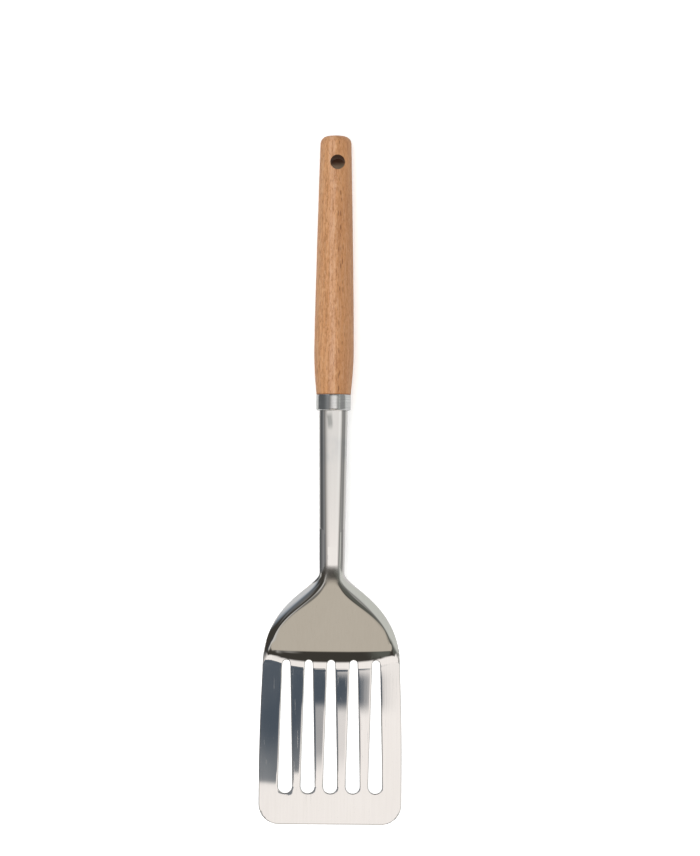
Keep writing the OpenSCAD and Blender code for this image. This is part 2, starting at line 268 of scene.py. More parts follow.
# %% Rows of the heel
EDGE_HEEL_Y, EDGE_START_SHARE = 0.025 * FAN_L, 0.1
SLOT_HEEL_Y = JOIN_Y + (SLOT_HEEL_L - PLATE_L) * math.cos(LIFT)
COLLARS = ((0, SLOT_HEEL_R, SLOT_HEEL_R), (0.8, 2.8, 2.0), (1.6, 2.8, 1.65),
           (2.4, 2.7, 1.2), (3.2, 2.5, 0.75))
BELOW_SLOTS, ABOVE_SLOTS = (-0.6, 0.4), (5.9, 6.4, 6.9, 7.4, 7.8, 8.2, 8.5, 8.75, 8.95)
collars = {SLOT_HEEL_Y + back: (half, rise / half) for back, half, rise in COLLARS}
for y in (HEEL_START_Y, *BELOW_SLOTS, *collars, *ABOVE_SLOTS):
    share = mix(EDGE_START_SHARE, 1, (y - HEEL_START_Y) / (HEEL_END_Y - HEEL_START_Y))
    edge_y = mix(JOIN_Y, EDGE_HEEL_Y, share)
    if y == SLOT_HEEL_Y:
        slot_heel_row = len(rows)
    slot_r, bulge = collars.get(y, (slot_r_at(PLATE_L + y - JOIN_Y), 0))
    rows.append(row(PANEL_W / 2, y, HEEL_W / 2, edge_y, rim_depth(edge_y), PANEL_HOLD,
                    slot_r, 1, bulge))
print("rows of the blade and heel:", len(rows))

# %% [markdown]
# The fan's outline and the raised panel's outline are each one cubic curve,
# wide at the heel and drawn in to the shank. Behind them the shank widens a
# little to the ferrule, and the hidden tang is the same channel made narrow.

# %% Rows of the fan and the throat
SHANK_FAN_W, CROWN_FAN_W, SHANK_HOLD = 13.0, 6.4, 1.0
FAN_ROWS, THROAT_ROWS = 34, 10
EDGE_CURVE = [(HEEL_W / 2, EDGE_HEEL_Y), (HEEL_W / 2, 0.657 * FAN_L),
              (SHANK_FAN_W / 2, 0.835 * FAN_L), (SHANK_FAN_W / 2, 0.969 * FAN_L)]
PANEL_CURVE = [(PANEL_W / 2, HEEL_END_Y), (PANEL_W / 2, 0.565 * FAN_L),
               (CROWN_FAN_W / 2, 0.646 * FAN_L), (CROWN_FAN_W / 2, THROAT_START_Y)]


def on_curve(points, s):
    """A point of a cubic curve with four control points."""
    weights = ((1 - s) ** 3, 3 * (1 - s) ** 2 * s, 3 * (1 - s) * s ** 2, s ** 3)
    return [sum(w * p[axis] for w, p in zip(weights, points)) for axis in (0, 1)]


def narrow_row(crown, y, edge, edge_y, depth, hold):
    scale = 2 * crown / PANEL_W
    return row(crown, y, edge, edge_y, depth, hold, SLOT_HEEL_R * scale, scale)


for i in range(FAN_ROWS + 1):
    s = i / FAN_ROWS
    (crown_x, crown_y), (edge_x, edge_y) = on_curve(PANEL_CURVE, s), on_curve(EDGE_CURVE, s)
    rows.append(narrow_row(crown_x, crown_y, edge_x, edge_y, rim_depth(edge_y),
                           mix(PANEL_HOLD, SHANK_HOLD, s ** 3)))
for i in range(1, THROAT_ROWS + 1):
    s = i / THROAT_ROWS
    edge_y = mix(EDGE_CURVE[3][1], FAN_L, s)
    rows.append(narrow_row(CROWN_FAN_W / 2, mix(THROAT_START_Y, FAN_L, s),
                           SHANK_FAN_W / 2, edge_y, rim_depth(edge_y), SHANK_HOLD))
print("rows up to the shank:", len(rows))

# %% Rows of the shank and the tang
SHANK_ROWS, TAPER_ROWS, TANG_ROWS = 26, 5, (14, 28, 42)
SHANK_MOUTH_W, CROWN_MOUTH_W, FERRULE_WALL, SPIGOT_L = 14.9, 7.4, 0.6, 4.5
TANG_L, TANG_W, TANG_CROWN_W, TANG_TIP_L, TANG_TIP_W = 56.0, 7.6, 3.0, 9.0, 4.0
SPIGOT_START = FERRULE_L - SPIGOT_L
TANG_END = SPIGOT_START + TANG_L


def axis_row(length, width, crown, depth=SHANK_DEPTH):
    """A row of the channel, at a length along the handle's axis from its mouth."""
    y = MOUTH_Y + length * math.cos(FALL)
    return narrow_row(crown / 2, y, width / 2, y, depth, SHANK_HOLD)


for i in range(1, SHANK_ROWS + 1):
    s = (i / SHANK_ROWS) ** 1.5
    rows.append(axis_row(mix(-SHANK_L, FERRULE_WALL, s), mix(SHANK_FAN_W, SHANK_MOUTH_W, s),
                         mix(CROWN_FAN_W, CROWN_MOUTH_W, s)))
for i in range(1, TAPER_ROWS):
    s = (1 - math.cos(math.pi / (TAPER_ROWS - 1) * i)) / 2
    rows.append(axis_row(mix(FERRULE_WALL, SPIGOT_START, i / TAPER_ROWS),
                         mix(SHANK_MOUTH_W, TANG_W, s), mix(CROWN_MOUTH_W, TANG_CROWN_W, s)))
for length in (*TANG_ROWS, TANG_END - TANG_TIP_L):
    rows.append(axis_row(length, TANG_W, TANG_CROWN_W))
rows.append(axis_row(TANG_END, TANG_TIP_W, TANG_CROWN_W * TANG_TIP_W / TANG_W,
                     SHANK_DEPTH * TANG_TIP_W / TANG_W))
print("rows of the whole head:", len(rows))

# %% [markdown]
# ## Press the head
#
# The real head starts as a flat blank, is punched, and is pressed to shape.
# The model goes the same way: a flat grid, with the faces of the slots
# deleted, and then each vertex moved to its place on the pressed surface. Each
# row has the same columns: ten across a slot, six across a land between two
# slots, four beside the outer slots and twelve down each rim.

# %% Columns across a row
SLOT_FACES, LAND_FACES, SIDE_FACES, RIM_FACES = 10, 6, 4, 12
NEAR_EDGE, FAR_EDGE = 0.55, 1.1


def crown_columns(r):
    """The places across the raised crown, left to right, and how far each bulges."""
    near, far = NEAR_EDGE * r["scale"], FAR_EDGE * r["scale"]
    places = [(-r["crown"], 0.0)]
    for i in range(SLOT_COUNT):
        centre = (i - (SLOT_COUNT - 1) / 2) * SLOT_PITCH * r["scale"]
        start, end = places[-1][0], centre - r["slot_r"]
        stops = [start + near, start + far] if i else []
        stops += [(start + end) / 2, end - far, end - near, end]
        places += [(x, 0.0) for x in stops]
        for k in range(1, SLOT_FACES + 1):
            turn = math.pi * k / SLOT_FACES
            places.append((centre - r["slot_r"] * math.cos(turn),
                           r["bulge"] * r["slot_r"] * math.sin(turn)))
    start, end = places[-1][0], r["crown"]
    places += [(x, 0.0) for x in (start + near, start + far, (start + end) / 2, end)]
    return places


print("columns across the crown:", len(crown_columns(rows[0])))

# %% [markdown]
# Three small things make the sheet look pressed and not drawn: the punch has
# drawn the metal down by hundredths beside each slot, the shank's channel has
# round shoulders, and the polished faces are never quite flat.

# %% Height of the pressed sheet
DIE_ROLL, FRONT_ROLL, ROLL_REACH, ROLL_FADE = 0.02, 0.004, 0.6, 4
SECTION_FAN, SECTION_MOUTH = 2.7, 3.5
CHANNEL_LEAD, CHANNEL_RUN = 4, 6
FLATNESS, WAVE_W, WAVE_L, WAVE_LAYER, EVEN_END = 0.014, 16, 34, 3.7, 8


def die_roll(x, y):
    """How far the punch has drawn the sheet down beside the nearest slot.
    It drew least at the slots' front ends, and the heel bend irons it out."""
    front = FRONT_Y + SLOT_FRONT_L * math.cos(LIFT)
    share = clip((y - front) / (SLOT_HEEL_Y - front))
    index = min(max(round(x / SLOT_PITCH), -(SLOT_COUNT // 2)), SLOT_COUNT // 2)
    off = (math.hypot(x - index * SLOT_PITCH, max(0, front - y))
           - mix(SLOT_FRONT_R, SLOT_HEEL_R, share))
    roll = mix(DIE_ROLL, FRONT_ROLL, clip((front - y) / SLOT_FRONT_R))
    return roll * (1 - clip(off / ROLL_REACH)) * clip((SLOT_HEEL_Y - y) / ROLL_FADE)


def channel_drop(x, y, r):
    """How far the shank's round-shouldered channel has fallen at x."""
    power = mix(SECTION_FAN, SECTION_MOUTH, clip((y - FAN_L) / SHANK_L))
    return r["depth"] * (1 - (1 - clip(abs(x) / r["edge"]) ** power) ** (1 / power))


def sheet_point(x, y, drop, r):
    """A point of the pressed sheet, with the small unevenness of a real pressing."""
    share = clip((y - THROAT_START_Y + CHANNEL_LEAD) / (FAN_L - THROAT_START_Y + CHANNEL_RUN))
    drop = mix(drop, channel_drop(x, y, r), share ** 2 * (3 - 2 * share))
    wave = FLATNESS * noise.noise(Vector((x / WAVE_W, y / WAVE_L, WAVE_LAYER)))
    uneven = wave if y < MOUTH_Y - EVEN_END else 0
    if y < HEEL_END_Y:
        drop += die_roll(x, y)
    return place(x, y, above_ground(crown_z(x, y) - drop + min(0, uneven)))


print("die roll beside a slot:", DIE_ROLL, "unevenness:", FLATNESS)

# %% [markdown]
# The blade's front corners are round. A square net can follow a round corner
# if half of the round belongs to the front row and half to the sides of the
# next rows, and the points between are blended from the four sides.

# %% Front corners and the net
CORNER_R = 10.5
STRAIGHT_W = BLADE_W / 2 - CORNER_R


def on_corner(turn):
    """A point of the blade's round corner, flat on the drawing board."""
    return Vector((STRAIGHT_W + CORNER_R * math.sin(turn), CORNER_R * (1 - math.cos(turn))))


def corner_point(r, out, v):
    """A point of a front corner, v of the way out along the row r."""
    w = 1 - r["corner"]
    run = w * (CORNER_R * math.pi / 4 + FIRST_STRAIGHT - CORNER_R)
    side = on_corner(min(math.pi / 2, math.pi / 4 + run / CORNER_R))
    side.y += max(0, run - CORNER_R * math.pi / 4)
    crown, edge = Vector((r["crown"], FIRST_STRAIGHT)), Vector((r["edge"], FIRST_STRAIGHT))
    start, middle = on_corner(0), on_corner(math.pi / 4)
    point = (start.lerp(crown, w).lerp(side, v)
             + on_corner(math.pi / 4 * v).lerp(crown.lerp(edge, out), w)
             - start.lerp(middle, v).lerp(crown.lerp(edge, v), w))
    return point.x, FRONT_Y + point.y * math.cos(LIFT)


def net_point(r, column, columns):
    """Where a vertex of the blank goes: rim, crown, rim."""
    if RIM_FACES <= column < RIM_FACES + len(columns):
        x, bulge = columns[column - RIM_FACES]
        x *= mix(1, STRAIGHT_W / r["crown"], r["corner"])
        return sheet_point(x, mix(r["y"], FRONT_Y, r["corner"]) + bulge, 0, r)
    left = column < RIM_FACES
    v = (RIM_FACES - column if left else column - RIM_FACES - len(columns) + 1) / RIM_FACES
    out = 2 * r["hold"] * v * (1 - v) + v * v
    x, y = mix(r["crown"], r["edge"], out), mix(r["y"], r["edge_y"], out)
    if r["corner"]:
        x, y = corner_point(r, out, v)
    return sheet_point(-x if left else x, y, r["depth"] * v * v, r)


print("front edge at", [round(c / MM, 1) for c in net_point(rows[0], RIM_FACES, [(0, 0)])])

# %% [markdown]
# The blank is one grid with a face for each row and column. A vertex's place
# in the grid says which row and column it belongs to.

# %% Blank, slots and press
def new_piece(name, mesh_maker, matrix=Matrix()):
    """A smooth object at the origin, from a bmesh that the matrix has moved."""
    mesh = bpy.data.meshes.new(name)
    bmesh.ops.transform(mesh_maker, matrix=matrix, verts=mesh_maker.verts[:])
    mesh_maker.to_mesh(mesh)
    mesh_maker.free()
    for face in mesh.polygons:
        face.use_smooth = True
    made = bpy.data.objects.new(name, mesh)
    scene.collection.objects.link(made)
    return made


across = 2 * RIM_FACES + len(crown_columns(rows[0])) - 1
along = len(rows) - 1
blank = bmesh.new()
bmesh.ops.create_grid(blank, x_segments=across, y_segments=along, size=1)
station = {v: (round((v.co.x + 1) / 2 * across), round((v.co.y + 1) / 2 * along))
           for v in blank.verts}

punched = []
for face in blank.faces:
    middle = face.calc_center_median()
    column, line = (middle.x + 1) / 2 * across, (middle.y + 1) / 2 * along
    from_first_slot = column - RIM_FACES - SIDE_FACES
    in_slot = (0 < from_first_slot < SLOT_COUNT * (SLOT_FACES + LAND_FACES) - LAND_FACES
               and from_first_slot % (SLOT_FACES + LAND_FACES) < SLOT_FACES)
    if in_slot and slot_front_row < line < slot_heel_row:
        punched.append(face)
row_columns = [crown_columns(r) for r in rows]
for v, (column, line) in station.items():
    v.co = net_point(rows[line], column, row_columns[line])
bmesh.ops.delete(blank, geom=punched, context="FACES")
bmesh.ops.recalc_face_normals(blank, faces=blank.faces[:])
if sum(f.normal.z for f in blank.faces) < 0:
    bmesh.ops.reverse_faces(blank, faces=blank.faces[:])
mouth = place(0, MOUTH_Y + FERRULE_WALL, 0).y
bevel_weight = blank.edges.layers.float.new("bevel_weight_edge")
for edge in blank.edges:
    if edge.is_boundary and max(v.co.y for v in edge.verts) < mouth:
        edge[bevel_weight] = 1.0
print("faces of the pressed sheet:", len(blank.faces), "punched out:", len(punched))
head = new_piece("pressed_head", blank)

# %% [markdown]
# A Solidify modifier gives the sheet its thickness, and a Bevel modifier
# rounds the punched edges, because the thin line of light on them is what
# shows that the sheet has a thickness. Only the blank's open edges outside the
# ferrule carry a bevel weight: those of the hidden tang lie so close together
# that their bevels would cross.

# %% Thickness and rounded edges
EDGE_ROUND = 0.45


def modify(piece, name, kind, **settings):
    """Adds a modifier to a piece, with its settings."""
    made = piece.modifiers.new(name, kind)
    for key, value in settings.items():
        setattr(made, key, value)


modify(head, "sheet thickness", "SOLIDIFY", thickness=SHEET * MM, offset=-1,
       use_even_offset=True)
modify(head, "punched edges", "BEVEL", width=EDGE_ROUND * MM, segments=3, profile=0.42,
       limit_method="WEIGHT", loop_slide=False, use_clamp_overlap=False, harden_normals=True)
print("edges rounded by", EDGE_ROUND, "mm")

# %% [markdown]
# ## The ferrule
#
# The real one is a cup drawn from thin steel, with a rounded lip where the
# shank comes out. A profile turned with Spin is the natural way to make it.
# Only its end wall isn't round: it has an opening for the shank's channel.
# That wall is bridged between the turned lip and a flattened circle.

# %% Place a turned piece on the handle's axis
AXIS = (Matrix.Translation(place(0, MOUTH_Y, MOUTH_Z))
        @ Matrix.Rotation(-math.pi / 2 - FALL, 4, "X") @ Matrix.Scale(MM, 4))
TURN_STEPS = 128


def turned(profile):
    """A bmesh of a profile of (radius, length) points, spun once round the axis."""
    made = bmesh.new()
    chain = [made.verts.new((radius, 0, length)) for radius, length in profile]
    links = [made.edges.new(pair) for pair in zip(chain, chain[1:])]
    bmesh.ops.spin(made, geom=chain + links, cent=(0, 0, 0), axis=(0, 0, 1),
                   dvec=(0, 0, 0), angle=2 * math.pi, steps=TURN_STEPS, use_merge=True,
                   use_duplicate=False)
    bmesh.ops.remove_doubles(made, verts=made.verts[:], dist=1e-4)
    return made


def arc(centre, radius, start, end, steps):
    """Points of a round between two angles in degrees, as (radius, length)."""
    turns = [math.radians(mix(start, end, k / steps)) for k in range(steps + 1)]
    return [(centre[0] + radius * math.cos(t), centre[1] + radius * math.sin(t))
            for t in turns]


print("axis starts at", [round(c / MM, 1) for c in AXIS.translation])

# %% Ferrule
FERRULE_D, FERRULE_ROUND, OPENING_GAP = 18.0, 0.8, 0.2
LIP_R, INNER_W, INNER_H = 0.12, 0.1, 0.3
OPENING_R = math.hypot(SHANK_MOUTH_W / 2, CROWN_RISE) + OPENING_GAP
OPENING_H = SHANK_DEPTH + 2 * OPENING_GAP
outer_r = FERRULE_D / 2
inner_r = outer_r - FERRULE_WALL
cup = turned(
    [(outer_r - FERRULE_ROUND, FERRULE_WALL), (inner_r - INNER_W, FERRULE_WALL),
     (inner_r, FERRULE_WALL + INNER_H), (inner_r, FERRULE_L - LIP_R)]
    + arc((outer_r - LIP_R, FERRULE_L - LIP_R), LIP_R, 90, 0, 3)
    + [(outer_r, mix(FERRULE_ROUND, FERRULE_L, k / 6)) for k in (5, 4, 3, 2, 1)]
    + arc((outer_r - FERRULE_ROUND, FERRULE_ROUND), FERRULE_ROUND, 0, -90, 7))
for level in (0, FERRULE_WALL):
    ring = bmesh.ops.create_circle(cup, segments=TURN_STEPS, radius=OPENING_R)["verts"]
    for v in ring:
        v.co.y = max(-OPENING_H / 2, min(OPENING_H / 2, v.co.y))
        v.co.z = level
open_edges = [e for e in cup.edges if not e.is_manifold]


def loop_at(level, inside):
    """The open edges at one level, either of the opening or of the turned cup."""
    reach = OPENING_R + 0.05
    return [e for e in open_edges
            if all(abs(v.co.z - level) < 1e-3 and (v.co.xy.length < reach) == inside
                   for v in e.verts)]


for level in (0, FERRULE_WALL):
    bmesh.ops.bridge_loops(cup, edges=loop_at(level, False) + loop_at(level, True))
bmesh.ops.bridge_loops(cup, edges=loop_at(0, True) + loop_at(FERRULE_WALL, True))
bmesh.ops.recalc_face_normals(cup, faces=cup.faces[:])
print("ferrule faces:", len(cup.faces),
      "open edges left:", sum(not e.is_manifold for e in cup.edges))
ferrule = new_piece("ferrule_cup", cup, AXIS)
modify(ferrule, "opening edge", "BEVEL", width=0.08 * MM, segments=2, limit_method="ANGLE",
       angle_limit=math.radians(50), harden_normals=True)

# %% [markdown]
# ## The handle
#
# A handle like this is turned on a lathe from a beech square, bored for the
# tang and drilled across for hanging. Spin makes the turned body with its
# bore in one profile: a quick swell to the belly and a slow taper to the butt.

# %% Turned beech
SEAM_D, SEAM_ROUND, BELLY_D, BELLY_L = 18.0, 0.5, 20.6, 23.0
SPIGOT_GAP, GLUE_GAP, GLUE_END, END_CLEAR = 0.05, 0.3, 1.0, 0.002
SWELL_STEPS, TAPER_STEPS, TAPER_POWER = 14, 40, 1.3
SPIGOT_R = FERRULE_D / 2 - FERRULE_WALL - SPIGOT_GAP
BORE_R = math.hypot(TANG_W / 2, CROWN_RISE) + GLUE_GAP
BORE_L = TANG_L + GLUE_END
BUTT_END = FERRULE_L + HANDLE_L - END_CLEAR
seam_r = SEAM_D / 2 - SEAM_ROUND
body = [(0, SPIGOT_START + BORE_L), (BORE_R, SPIGOT_START + BORE_L),
        (BORE_R, SPIGOT_START), (SPIGOT_R, SPIGOT_START), (SPIGOT_R, FERRULE_L)]
body += [(seam_r + SEAM_ROUND * math.sin(math.radians(t)),
          FERRULE_L + SEAM_ROUND * (1 - math.cos(math.radians(t)))) for t in (0, 22, 45, 67)]
for k in range(SWELL_STEPS + 1):
    s = k / SWELL_STEPS
    body.append((mix(SEAM_D, BELLY_D, math.sin(math.pi / 2 * s)) / 2,
                 mix(FERRULE_L + SEAM_ROUND, FERRULE_L + BELLY_L, s)))
for k in range(1, TAPER_STEPS + 1):
    s = k / TAPER_STEPS
    body.append((mix(BELLY_D, BUTT_D, s ** TAPER_POWER) / 2,
                 mix(FERRULE_L + BELLY_L, BUTT_END - BUTT_ROUND, s)))
body += arc((BUTT_D / 2 - BUTT_ROUND, BUTT_END - BUTT_ROUND), BUTT_ROUND, 0, 90, 12)[1:]
body += [((BUTT_D / 2 - BUTT_ROUND) / 2, BUTT_END), (0, BUTT_END)]
turning = turned(body)
bmesh.ops.recalc_face_normals(turning, faces=turning.faces[:])
print("faces of the turned handle:", len(turning.faces))
handle = new_piece("beech_handle", turning, AXIS)

# %% [markdown]
# The hang hole is cut with a Boolean, because a cross hole meets the round
# body in a curve that no operator draws, and a Bevel then breaks its edge, as
# sandpaper does.

# %% Drilled hang hole
HANG_HOLE_D, HANG_HOLE_L, HANG_HOLE_OFFSET = 7.6, 14.3, 1.0
DRILL_L, DRILL_STEPS = 30, 72
drill = bmesh.new()
bmesh.ops.create_cone(drill, cap_ends=True, segments=DRILL_STEPS, radius1=HANG_HOLE_D / 2,
                      radius2=HANG_HOLE_D / 2, depth=DRILL_L)
bmesh.ops.rotate(drill, cent=(0, 0, 0), matrix=Matrix.Rotation(math.pi / 2, 3, "X"),
                 verts=drill.verts[:])
bmesh.ops.translate(drill, vec=(HANG_HOLE_OFFSET, 0, BUTT_END - HANG_HOLE_L),
                    verts=drill.verts[:])
bit = new_piece("drill_bit", drill, AXIS)
modify(handle, "hang hole", "BOOLEAN", operation="DIFFERENCE", solver="EXACT", object=bit)
drilled = bpy.data.meshes.new_from_object(
    handle.evaluated_get(bpy.context.evaluated_depsgraph_get()))
handle.modifiers.clear()
handle.data = drilled
bpy.data.objects.remove(bit)
modify(handle, "sanded edges", "BEVEL", width=0.3 * MM, segments=3, limit_method="ANGLE",
       angle_limit=math.radians(40), harden_normals=True)
print("handle faces:", len(drilled.polygons))

# %% [markdown]
# ## Writing shader maths as sums
#
# A procedural finish is mostly arithmetic on coordinates. Wiring one Math
# node per sign hides the formula, so a small class wraps a socket, and each
# `+` or `*` on it adds the node. Every other node comes from `node`, which
# sets the node's settings first and then its sockets.

# %% Sums on sockets
class Wire:
    """One output socket. Arithmetic on it adds Math nodes to its tree."""

    def __init__(self, socket):
        self.socket = socket
        self.tree = socket.id_data

    def math(self, operation, *values):
        return node(self.tree, "ShaderNodeMath", dict(operation=operation),
                    dict(enumerate(values)))

    def __add__(self, other):
        return self.math("ADD", self, other)

    def __sub__(self, other):
        return self.math("SUBTRACT", self, other)

    def __rsub__(self, other):
        return self.math("SUBTRACT", other, self)

    def __mul__(self, other):
        return self.math("MULTIPLY", self, other)

    def __pow__(self, other):
        return self.math("POWER", self, other)

    def size(self):
        return self.math("ABSOLUTE", self)

    __radd__ = __add__
    __rmul__ = __mul__


def node(tree, kind, settings=None, sockets=None, out=0):
    """Adds a node, sets its settings, then its sockets, and wraps one output."""
    made = tree.nodes.new(kind)
    for name, value in (settings or {}).items():
        setattr(made, name, value)
    for name, value in (sockets or {}).items():
        if isinstance(value, Wire):
            tree.links.new(value.socket, made.inputs[name])
        else:
            made.inputs[name].default_value = value
    return Wire(made.outputs[out]) if made.outputs else None


# %% Steps, bands and blends
def step(value, low, high):
    """0 below low, 1 above high, and a soft step between them."""
    return node(value.tree, "ShaderNodeMapRange", dict(interpolation_type="SMOOTHSTEP"),
                {"Value": value, "From Min": low, "From Max": high})


def band(value, start, end, soft):
    """1 between start and end, with soft sides."""
    return step(value, start - soft, start + soft) * (1 - step(value, end - soft, end + soft))


def blend(share, first, second):
    """A colour between two colours."""
    colours = {0: share, 6: first, 7: second}
    for key in (6, 7):
        if not isinstance(colours[key], Wire):
            colours[key] = (*colours[key], 1)
    return node(share.tree, "ShaderNodeMix", dict(data_type="RGBA"), colours, out=2)


# %% Places and grain on a piece
def stretched(tree, scale, shift=(0, 0, 0)):
    """The piece's own coordinates in metres, scaled and moved."""
    place_on_piece = node(tree, "ShaderNodeTexCoord", out=3)
    return node(tree, "ShaderNodeMapping", None,
                {"Vector": place_on_piece, "Location": shift, "Scale": scale})


def own_place(tree):
    """The three coordinates of a point of the piece, in metres."""
    split = node(tree, "ShaderNodeSeparateXYZ", None, {"Vector": stretched(tree, (1, 1, 1))})
    return [Wire(split.socket.node.outputs[k]) for k in range(3)]


def grain(tree, scale, detail=2.0, rough=0.5, distortion=0.0, shift=(0, 0, 0)):
    """Noise stretched along the piece, from about 0 to 1."""
    return node(tree, "ShaderNodeTexNoise", None,
                {"Vector": stretched(tree, scale, shift), "Scale": 1.0, "Detail": detail,
                 "Roughness": rough, "Distortion": distortion})


# %% Finishes
def finish(name, **constants):
    """A material with one Principled shader, with its constants set on its sockets."""
    made = bpy.data.materials.new(name)
    made.use_nodes = True
    shader = made.node_tree.nodes["Principled BSDF"]
    for socket, value in constants.items():
        shader.inputs[socket.replace("_", " ")].default_value = value
    return made, made.node_tree, shader


def feed(shader, **wires):
    for socket, wire in wires.items():
        shader.id_data.links.new(wire.socket, shader.inputs[socket.replace("_", " ")])


def bumped(height, depth_mm, strength=1.0):
    """A normal from a height in units of depth_mm."""
    return node(height.tree, "ShaderNodeBump", None,
                {"Height": height, "Distance": depth_mm * MM, "Strength": strength})


# %% [markdown]
# ## Steel
#
# Kitchen steel is rolled, pressed and then polished along the blade. It is a
# mirror with a fine grain: long hair lines that blur what it reflects in one
# direction, a faint cloudiness, and here and there a fine scratch. Its colour
# is almost even, but for a bluish grey mottled patch on the shank and a painted
# dark reflection near the ferrule, where a small dent would mirror something
# dark. The throat stays duller, because a polishing wheel doesn't reach into it.

# %% Pressed steel
steel, tree, shader = finish("polished_steel", Metallic=1.0)
hair = grain(tree, (9000, 110, 2500), detail=3, rough=0.6)
streak = grain(tree, (1100, 16, 500), shift=(0.3, 0, 0))
cloud = grain(tree, (70, 45, 70), detail=3, rough=0.55)
scratch_run = grain(tree, (2600, 34, 900), detail=1, rough=0.4, distortion=0.4)
scratch = step(scratch_run, 0.73, 0.77)
steel_x, steel_y, _ = own_place(tree)
bend = (cloud - 0.5) * 0.004
# Painted reflection: a dark patch in the colour near the ferrule stands in for a small dent that
# mirrors something dark.
painted_dark_reflection = (band(steel_x + bend, -0.0026, -0.0002, 0.0006)
          * band(steel_y + bend * 3, 0.0285, 0.0370, 0.0022))
mottle = band(steel_y + bend * 2, 0.0110, 0.0215, 0.0035) * step(cloud + streak * 0.3, 0.45, 0.85)
dull = band(steel_y, -0.0530, -0.0435, 0.0020)
steel_colour = blend(cloud * 0.5 + streak * 0.5, (0.80, 0.775, 0.755), (0.885, 0.865, 0.85))
steel_colour = blend(mottle * 0.8, steel_colour, (0.60, 0.63, 0.66))
feed(shader,
     Base_Color=blend(painted_dark_reflection * 0.75, steel_colour, (0.36, 0.37, 0.36)),
     Roughness=0.012 + hair * 0.014 + cloud * 0.012 + scratch * 0.10 + dull * 0.17,
     Normal=bumped(hair * 0.10 + streak - scratch * 0.5, 0.004, 0.22))
print("nodes in the steel:", len(tree.nodes))

# %% [markdown]
# The ferrule is polished while it turns, so its hair lines run round it. The
# lines follow the length along the axis, which is nearly Y, and only a little
# noise breaks them.

# %% Ferrule steel
ring_steel, tree, shader = finish("turned_steel", Metallic=1.0)
ring_line = grain(tree, (40, 3800, 40), detail=3, rough=0.7)
ring_cloud = grain(tree, (160, 240, 160))
feed(shader,
     Base_Color=blend(ring_cloud * 0.4 + step(ring_line, 0.35, 0.65) * 0.6,
                      (0.68, 0.69, 0.69), (0.94, 0.94, 0.935)),
     Roughness=0.14 + ring_line * 0.10 + ring_cloud * 0.05,
     Normal=bumped(ring_line, 0.006, 0.4))
print("nodes in the ferrule's steel:", len(tree.nodes))

# %% [markdown]
# ## Beech
#
# Steamed beech is an even, warm, pinkish tan. What makes it beech is the
# small scale: short brown dashes, a millimetre or two long, where the rays
# are cut, and faint growth lines that wander along the handle. The growth
# lines are rings round a pith that lies far outside the handle, so a ring
# distance bent by a little noise draws them on every side of the wood at
# once. The oiled surface has a soft shine and open pores.

# %% Beech with its growth lines and rays
def cells(tree, scale, shift=(0, 0, 0)):
    """The distance to the middle of the nearest of many stretched cells."""
    return node(tree, "ShaderNodeTexVoronoi", None,
                {"Vector": stretched(tree, scale, shift), "Scale": 1.0})


beech, tree, shader = finish("oiled_beech")
across_x, along_y, up_z = own_place(tree)
wander = grain(tree, (60, 9, 60), detail=3, rough=0.55)
ripple = grain(tree, (130, 46, 130), shift=(0.7, 0, 0))
shifted_x = across_x + (wander - 0.5) * 0.0040 + (ripple - 0.5) * 0.0012
pith_x = shifted_x + 0.021 + (wander - 0.5) * 0.006
pith_z = up_z + 0.030 + (wander - 0.5) * 0.006
ring_count = (pith_x * pith_x + pith_z * pith_z) ** 0.5 * 520 + wander * 1.2
ring = ring_count.math("FRACT", ring_count)
late_wood = step(ring, 0.45, 0.90) * (1 - step(ring, 0.93, 1.0))
fibre = grain(tree, (2600, 95, 2600), detail=3, rough=0.6)
thread = grain(tree, (1000, 40, 1000), detail=3, rough=0.6, distortion=0.3, shift=(0.4, 0, 0))
tone = grain(tree, (95, 11, 95), shift=(0.2, 0.4, 0))
short = grain(tree, (1250, 380, 1250), detail=3, rough=0.7, distortion=0.4, shift=(0.9, 0, 0))
ray = 1 - step(cells(tree, (1150, 230, 1150)), 0.10, 0.28)
fleck_cells = cells(tree, (760, 165, 760), (0.1, 0.3, 0))
fleck_column = band(shifted_x, 0.0016, 0.0048, 0.0008)
fleck = (1 - step(fleck_cells, 0.16, 0.33)) * (0.08 + 0.92 * fleck_column)
# Painted highlight: a pale stripe just left of the handle's top line, where the overhead softbox
# shines on the oiled wood, broken up by grain noise.
painted_sheen_stripe = band(shifted_x, -0.0028, 0.0001, 0.0005) * step(short + thread, 0.7, 1.2)
# Darker right side: partly painted shade, as the light comes from the left, and partly a darker
# tone of the wood.
right_tone_and_shade = step(shifted_x, 0.0004, 0.0020)
print("nodes for the beech's marks:", len(tree.nodes))

# %% [markdown]
# Each layer is mixed over the ones before it, from the broad tones down to
# the pores. Among the broad tones are a painted highlight along the top and a
# right side that is darker, partly as painted shade. Two more marks follow: the
# hang hole's walls are painted dark, mostly as painted shade with a little
# darker end grain, and the wood is darker in a thin line at the ferrule's seam.

